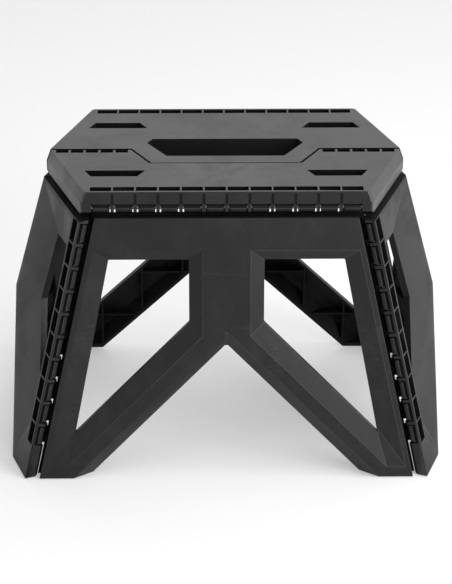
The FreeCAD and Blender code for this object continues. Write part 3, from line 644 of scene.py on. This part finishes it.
@dataclass(frozen=True)
class EasedEdges:
    """How a solid's sharp edges are rounded off.

    Edges past hard_angle are rounded unless a face beside them is slimmer than finest.
    Creases between crease_angle and hard_angle are rounded between broad faces, stay
    smooth beside the narrow strips of a round surface, and are hard elsewhere. Where
    rounding makes an outline cross itself by more than tangle_area, the edges within
    tangle_reach stay hard. Faces closed in past shaded_share get the second finish, a dark
    copy of the plastic that paints shade on them.
    """

    width: float
    segments: int = 2
    hard_angle: float = math.radians(28.0)
    crease_angle: float = math.radians(8.0)
    finest: float = 0.9 * MM
    broad: float = 2.4 * MM
    strip: float = 1.2 * MM
    shaded_share: float = 0.18
    tries: int = 6
    tangle_area: float = 0.25 * MM * MM
    tangle_reach: float = 2.5 * MM
    corner_share: float = 0.001
    few_corners: int = 8
    parallel: float = 1e-14
    flat_angle: float = math.radians(0.6)
    weld: float = 0.002 * MM

    def is_rounded(self, edge: bmesh.types.BMEdge) -> bool:
        """Tell whether an edge is rounded off, and mark an edge that stays hard as sharp.

        Args:
            edge: An edge of the solid.

        Returns:
            Whether it is rounded off.
        """
        if not edge.is_manifold:
            return False
        angle = edge.calc_face_angle(0.0)
        slimmest = min(2.0 * face.calc_area() / face.calc_perimeter() for face in edge.link_faces)
        if angle > self.hard_angle:
            edge.smooth = slimmest > self.finest
            return edge.smooth
        if angle < self.crease_angle:
            return False
        edge.smooth = slimmest > self.broad or slimmest < self.strip
        return slimmest > self.broad

    def bevelled(self, source: bpy.types.Mesh, tangles: list[Vector]) -> bmesh.types.BMesh:
        """Copy a mesh and round its edges off, apart from those beside a tangle.

        Args:
            source: The solid's mesh.
            tangles: Places where rounding made an outline cross itself.

        Returns:
            The new mesh, with a face layer that is 1 on the rounded edges.
        """
        bm = bmesh.new()
        bm.from_mesh(source)
        bmesh.ops.remove_doubles(bm, verts=bm.verts[:], dist=self.weld)
        bmesh.ops.dissolve_limit(
            bm, angle_limit=self.flat_angle, verts=bm.verts[:], edges=bm.edges[:])
        mask = bm.faces.layers.float.new(EDGE_MASK)
        tight = {vertex for vertex in bm.verts
                 if any((vertex.co - place).length < self.tangle_reach for place in tangles)}
        rounded = []
        for edge in bm.edges:
            if not self.is_rounded(edge):
                continue
            if tight.intersection(edge.verts):
                edge.smooth = False
            else:
                rounded.append(edge)
        made = bmesh.ops.bevel(
            bm, geom=rounded, offset=self.width, offset_type="OFFSET",
            segments=self.segments, profile=0.5, affect="EDGES", clamp_overlap=False,
            loop_slide=False, miter_outer="SHARP", miter_inner="SHARP")
        for face in made["faces"]:
            face[mask] = 1.0
        return bm

    def tangled_places(self, bm: bmesh.types.BMesh) -> list[Vector]:
        """Places where a face's outline crosses itself.

        Args:
            bm: The rounded mesh.

        Returns:
            A point for each crossing of a face whose triangles overlap.
        """
        bm.normal_update()
        bm.faces.index_update()
        filled = [0.0] * len(bm.faces)
        for triangle in bm.calc_loop_triangles():
            first, second, third = (loop.vert.co for loop in triangle)
            filled[triangle[0].face.index] += (second - first).cross(third - first).length / 2
        places = []
        for face in bm.faces:
            if filled[face.index] > face.calc_area() + self.tangle_area:
                places.extend(self.crossings(face))
        return places

    def crossings(self, face: bmesh.types.BMFace) -> list[Vector]:
        """Crossing points of a face's outline with itself.

        Args:
            face: A face whose triangles overlap.

        Returns:
            The points, or where there are none, the corners of a face with few corners.
        """
        side = face.normal.orthogonal().normalized()
        other = face.normal.cross(side)
        corners = [vertex.co for vertex in face.verts]
        flat = np.array([(corner.dot(side), corner.dot(other)) for corner in corners])
        run = np.roll(flat, -1, axis=0) - flat
        gap = flat[None, :, :] - flat[:, None, :]
        twist = run[:, None, 0] * run[None, :, 1] - run[:, None, 1] * run[None, :, 0]
        twist[np.abs(twist) < self.parallel] = np.inf
        along = (gap[..., 0] * run[None, :, 1] - gap[..., 1] * run[None, :, 0]) / twist
        across = (gap[..., 0] * run[:, None, 1] - gap[..., 1] * run[:, None, 0]) / twist
        low, high = self.corner_share, 1.0 - self.corner_share
        inside = (along > low) & (along < high) & (across > low) & (across < high)
        places = []
        for i, j in zip(*np.nonzero(np.triu(inside))):
            start, end = corners[i], corners[(i + 1) % len(corners)]
            places.append(start.lerp(end, float(along[i, j])))
        if not places and len(corners) <= self.few_corners:
            places = [corner.copy() for corner in corners]
        return places

    def round_off(self, source: bpy.types.Mesh, name: str, shelter: Shelter) -> bpy.types.Mesh:
        """Copy a mesh with its sharp edges rounded and its faces marked for the finish.

        Args:
            source: The solid's mesh.
            name: Name of the new mesh.
            shelter: The measure of closed-in faces.

        Returns:
            The new mesh. One face attribute is 1 on the rounded edges, and the other
            tells how far each face is closed in, which sets where shade is painted.
        """
        tangles: list[Vector] = []
        for _ in range(self.tries):
            bm = self.bevelled(source, tangles)
            found = self.tangled_places(bm)
            if not found:
                break
            tangles.extend(found)
            bm.free()
        else:
            bm = self.bevelled(source, tangles)
        recess = bm.faces.layers.float.new(PAINTED_SHADE_MASK)
        bm.normal_update()
        for face in bm.faces:
            face.smooth = True
            face[recess] = shelter.share(face.calc_center_median(), face.normal)
            # Closed-in faces get the dark finish: painted shade.
            finish = Finish.PAINTED_SHADE if face[recess] > self.shaded_share else Finish.OPEN
            face.material_index = finish.value
        mesh = bpy.data.meshes.new(name)
        bm.to_mesh(mesh)
        bm.free()
        return mesh


@dataclass(frozen=True)
class Piece:
    """One finished piece that stands for one solid.

    A seat half has a groove_depth. Its rim wall gets the darker panel finish, so the lighter
    seat finish on its top and other open faces is painted sheen; its upright grooves and the
    walls of its holes get the dark finish, painted shade. The walls of its holes lie further
    in than hole_setback and nearer the middle than hole_reach.
    """

    node: str
    slot: Slot
    edges: EasedEdges
    groove_depth: float = 0.0
    hole_setback: float = 20.0 * MM
    hole_reach: float = 80.0 * MM
    groove_slack: float = 0.1 * MM
    wall_slack: float = 0.3 * MM
    upright: float = 0.5
    square_on: float = 0.9
    shading_weight: int = 100

    def build(self, frame: dict[str, Any], shelter: Shelter,
              materials: tuple[bpy.types.Material, ...]) -> bpy.types.Object:
        """Make the piece, dress it and tie it to its body.

        Args:
            frame: The loaded frame.
            shelter: The measure of closed-in faces.
            materials: The finish in the open, the dark one that paints shade on closed-in faces,
                and the one on a rim's wall.

        Returns:
            The new object.
        """
        source = frame["nodes"][self.node]
        name = self.node + "_moulding" if self.slot is Slot.PLASTIC else self.node + "_piece"
        mesh = self.edges.round_off(source.data, name, shelter)
        if self.groove_depth:
            self.part_walls(mesh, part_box(self.node))
        elif self.slot is Slot.PLASTIC:
            self.shade_inside(mesh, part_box(self.node))
        for material in materials:
            mesh.materials.append(material)
        piece = bpy.data.objects.new(name, mesh)
        bpy.context.scene.collection.objects.link(piece)
        weighted = piece.modifiers.new("even_shading", "WEIGHTED_NORMAL")
        weighted.weight = self.shading_weight
        weighted.keep_sharp = True
        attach(piece, source["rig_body"])
        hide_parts(self.node)
        LOG.info("%s: %d faces", name, len(mesh.polygons))
        return piece

    def part_walls(self, mesh: bpy.types.Mesh, box: tuple[Vector, Vector]) -> None:
        """Give a seat half's rim wall the darker panel finish, which leaves painted sheen on its
        lighter open faces, and paint shade on its grooves and hole walls.

        Args:
            mesh: The piece's mesh.
            box: Lowest and highest corners of the solid.
        """
        wall = max(abs(box[0].y), abs(box[1].y))
        for face in mesh.polygons:
            if abs(face.normal.z) > self.upright:
                continue
            setback = wall - abs(face.center.y)
            # Hole walls: painted shade.
            if setback > self.hole_setback and abs(face.center.x) < self.hole_reach:
                face.material_index = Finish.PAINTED_SHADE.value
            elif abs(face.normal.y) <= self.square_on:
                continue
            # Groove floors: painted shade.
            elif abs(setback - self.groove_depth) < self.groove_slack:
                face.material_index = Finish.PAINTED_SHADE.value
            # Rim wall: the darker panel finish, so the lighter open faces carry painted sheen.
            elif setback < self.wall_slack and face.material_index == Finish.OPEN.value:
                face.material_index = Finish.RIM_WALL.value

    def shade_inside(self, mesh: bpy.types.Mesh, box: tuple[Vector, Vector]) -> None:
        """Paint shade on the inner side of a panel with the dark closed-in finish.

        Args:
            mesh: The piece's mesh.
            box: Lowest and highest corners of the solid.
        """
        outward = box[0] + box[1]
        outward.z = 0.0
        outward.normalize()
        for face in mesh.polygons:
            # Faces turned inwards get painted shade.
            if face.normal.dot(outward) < -self.upright:
                face.material_index = Finish.PAINTED_SHADE.value


@dataclass
class Stool:
    """The whole stool: seat halves, leg panels, side panels, pins and pads."""

    seat_edges: EasedEdges = EasedEdges(0.26 * MM)
    panel_edges: EasedEdges = EasedEdges(0.35 * MM)
    pin_edges: EasedEdges = EasedEdges(0.25 * MM, finest=0.1 * MM)
    pad_edges: EasedEdges = EasedEdges(0.35 * MM)
    groove_depth: float = 0.5 * MM

    @staticmethod
    def plastics(effects: SurfaceEffects) -> tuple[bpy.types.Material, ...]:
        """Make the black plastic as it looks on the seat, with painted sheen, on the panels, and as
        a dark copy that paints shade on closed-in faces.

        Args:
            effects: The shared shader groups.

        Returns:
            The three materials.
        """
        # Lighter than the panel finish on the seat's own rim wall: painted sheen on the top and
        # open faces; the higher gloss is real.
        seat = MouldedPlastic(
            "seat_plastic_painted_sheen", (0.024, 0.024, 0.025), (0.036, 0.036, 0.037),
            roughness=0.44, gloss=0.7, stretch=(1.0, 3.5, 1.0), gate=(0.0, -0.055, 0.27),
            fan_depth=0.09)
        panel = MouldedPlastic(
            "panel_plastic", (0.010, 0.010, 0.0104), (0.018, 0.018, 0.0185),
            rub_and_highlight_colour=(0.085, 0.085, 0.086), roughness=0.42, gloss=0.24, edge_highlight_and_wear=0.4,
            stretch=(1.6, 1.0, 1.0), gate=(0.0, 0.0, 0.19))
        # Dark, dull copy of the plastic: painted shade on closed-in faces, grooves, holes and panel
        # insides.
        shaded = MouldedPlastic(
            "shaded_plastic", (0.004, 0.004, 0.0041), (0.006, 0.006, 0.0061),
            rub_and_highlight_colour=(0.02, 0.02, 0.02), painted_shade_colour=(0.002, 0.002, 0.002),
            roughness=0.6, gloss=0.15, stretch=(1.6, 1.0, 1.0))
        return seat.make(effects), panel.make(effects), shaded.make(effects)

    def build(self, frame: dict[str, Any], effects: SurfaceEffects) -> list[bpy.types.Object]:
        """Make every piece of the stool.

        Args:
            frame: The loaded frame.
            effects: The shared shader groups.

        Returns:
            The new objects.
        """
        seat, panel, shaded = self.plastics(effects)
        steel = DrawnSteel("drawn_steel", (0.28, 0.28, 0.285)).make(effects)
        rubber = PadRubber("pad_rubber", (0.018, 0.018, 0.018), (0.05, 0.05, 0.048)).make(effects)
        shelter = Shelter(frame)
        pieces = []
        for node in sorted(frame["nodes"]):
            if node.endswith("_pin"):
                piece = Piece(node, Slot.STEEL, self.pin_edges).build(
                    frame, shelter, (steel, steel))
            elif node.endswith("_pad"):
                piece = Piece(node, Slot.RUBBER, self.pad_edges).build(
                    frame, shelter, (rubber, rubber))
            elif node.endswith("_half"):
                piece = Piece(node, Slot.PLASTIC, self.seat_edges, self.groove_depth).build(
                    frame, shelter, (seat, shaded, panel))
            else:
                piece = Piece(node, Slot.PLASTIC, self.panel_edges).build(
                    frame, shelter, (panel, shaded))
            pieces.append(piece)
        return pieces


@dataclass(frozen=True)
class SoftBox:
    """A square soft box that faces the stool."""

    name: str
    place: tuple[float, float, float]
    size: float
    power: float
    aim: tuple[float, float, float] = (0.0, 0.0, 0.15)

    def build(self) -> None:
        """Make the lamp."""
        data = bpy.data.lights.new(self.name, "AREA")
        data.shape = "SQUARE"
        data.size = self.size
        data.energy = self.power
        lamp = bpy.data.objects.new(self.name, data)
        bpy.context.scene.collection.objects.link(lamp)
        lamp.location = self.place
        heading = Vector(self.aim) - Vector(self.place)
        lamp.rotation_euler = heading.to_track_quat("-Z", "Y").to_euler()


@dataclass
class Studio:
    """Pale floor, soft lamps and the camera at the photograph's view.

    The room's light grows from room_front to room_back and from room_left to room_right.
    """

    floor_size: float = 14.0
    floor_colour: tuple[float, float, float] = (0.87, 0.87, 0.87)
    floor_glow: float = 0.36
    glow_colour: tuple[float, float, float] = (1.0, 1.0, 1.0)
    sky_colour: tuple[float, float, float] = (0.97, 0.97, 0.97)
    boxes: tuple[SoftBox, ...] = (
        SoftBox("right_box", (1.6, -1.4, 0.85), 1.1, 40.0),
        SoftBox("top_box", (0.6, -0.3, 2.0), 1.3, 26.0))
    room_front: float = 0.12
    room_back: float = 1.7
    room_left: float = 0.36
    room_right: float = 1.1
    fibres_per_metre: float = 30.0
    fibre_shade: float = 0.99
    camera_place: tuple[float, float, float] = (-0.0286, -1.7667, 1.0522)
    camera_yaw: float = 0.963
    camera_pitch: float = 27.655
    camera_roll: float = 0.189
    focal_pixels: float = 2099.4
    picture_height: int = 584
    sensor: float = 36.0

    def build(self) -> None:
        """Make the floor, the lamps and the camera."""
        self.make_floor()
        self.make_world()
        for box in self.boxes:
            box.build()
        self.make_camera()

    def make_floor(self) -> None:
        """Make the pale floor."""
        half = self.floor_size / 2
        mesh = bpy.data.meshes.new("studio_floor")
        mesh.from_pydata(
            [(-half, -half, 0), (half, -half, 0), (half, half, 0), (-half, half, 0)],
            [], [(0, 1, 2, 3)])
        floor = bpy.data.objects.new("studio_floor", mesh)
        bpy.context.scene.collection.objects.link(floor)
        material, sheet, shader, place = start_material("floor_paper")
        fibre = sheet.add("ShaderNodeTexNoise", {
            "Vector": place, "Scale": self.fibres_per_metre, "Detail": 3.0})
        colour = (*self.floor_colour, 1.0)
        deeper = tuple(self.fibre_shade * part for part in self.floor_colour) + (1.0,)
        sheet.feed(shader.inputs["Base Color"], sheet.mix(fibre.outputs["Fac"], colour, deeper))
        shader.inputs["Roughness"].default_value = 0.9
        shader.inputs["Specular IOR Level"].default_value = 0.0
        glow = sheet.add("ShaderNodeEmission", {"Color": (*self.glow_colour, 1.0)})
        paper = sheet.add("ShaderNodeMixShader")
        sheet.feed(paper.inputs[0], sheet.math(
            "MULTIPLY", self.seeing_rays(sheet), self.floor_glow))
        sheet.feed(paper.inputs[1], shader.outputs["BSDF"])
        sheet.feed(paper.inputs[2], glow.outputs[0])
        output = material.node_tree.nodes["Material Output"]
        sheet.feed(output.inputs["Surface"], paper.outputs[0])
        mesh.materials.append(material)

    @staticmethod
    def seeing_rays(sheet: NodeSheet) -> bpy.types.NodeSocket:
        """Mask of the rays that see the background: from the camera, a gloss or a clear piece.

        Args:
            sheet: The sheet that gets the nodes.

        Returns:
            The mask's socket.
        """
        path = sheet.add("ShaderNodeLightPath")
        shown = sheet.math(
            "MAXIMUM", path.outputs["Is Camera Ray"], path.outputs["Is Glossy Ray"])
        return sheet.math("MAXIMUM", shown, path.outputs["Is Transmission Ray"])

    def make_world(self) -> None:
        """Make the light of a white room, brighter behind the stool and to its right."""
        world = bpy.data.worlds.new("studio_room")
        bpy.context.scene.world = world
        world.use_nodes = True
        world.node_tree.nodes.clear()
        sheet = NodeSheet(world.node_tree)
        output = sheet.add("ShaderNodeOutputWorld")
        direction = sheet.add("ShaderNodeSeparateXYZ", {
            "Vector": sheet.add("ShaderNodeTexCoord").outputs["Generated"]})
        depth = sheet.remap(
            direction.outputs["Y"], -0.5, 0.8, self.room_front, self.room_back)
        side = sheet.remap(direction.outputs["X"], -0.8, 0.8, self.room_left, self.room_right)
        room = sheet.add("ShaderNodeBackground", {
            "Color": WHITE, "Strength": sheet.math("MULTIPLY", depth, side)})
        seen = sheet.add("ShaderNodeBackground", {
            "Color": (*self.sky_colour, 1.0), "Strength": 1.0})
        both = sheet.add("ShaderNodeMixShader")
        sheet.feed(both.inputs[0], self.seeing_rays(sheet))
        sheet.feed(both.inputs[1], room.outputs[0])
        sheet.feed(both.inputs[2], seen.outputs[0])
        sheet.feed(output.inputs["Surface"], both.outputs[0])

    def make_camera(self) -> None:
        """Make the camera at the photograph's viewing angle."""
        data = bpy.data.cameras.new("photo_view")
        data.sensor_width = self.sensor
        data.sensor_fit = "AUTO"
        data.lens = self.focal_pixels * self.sensor / self.picture_height
        camera = bpy.data.objects.new("photo_view", data)
        bpy.context.scene.collection.objects.link(camera)
        camera.location = self.camera_place
        camera.rotation_mode = "XYZ"
        camera.rotation_euler = (
            math.radians(90.0 - self.camera_pitch), 0.0, math.radians(-self.camera_yaw))
        camera.rotation_euler.rotate_axis("Z", math.radians(self.camera_roll))
        bpy.context.scene.camera = camera
        bpy.context.scene.view_settings.view_transform = "Standard"


def main() -> None:
    """Build the stool and the studio, and log each piece's face count and the number of pieces."""
    logging.basicConfig(level=logging.INFO, format="%(name)s %(message)s")
    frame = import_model()
    effects = SurfaceEffects.build()
    pieces = Stool().build(frame, effects)
    Studio().build()
    LOG.info("%d pieces", len(pieces))


if __name__ == "__main__":
    main()
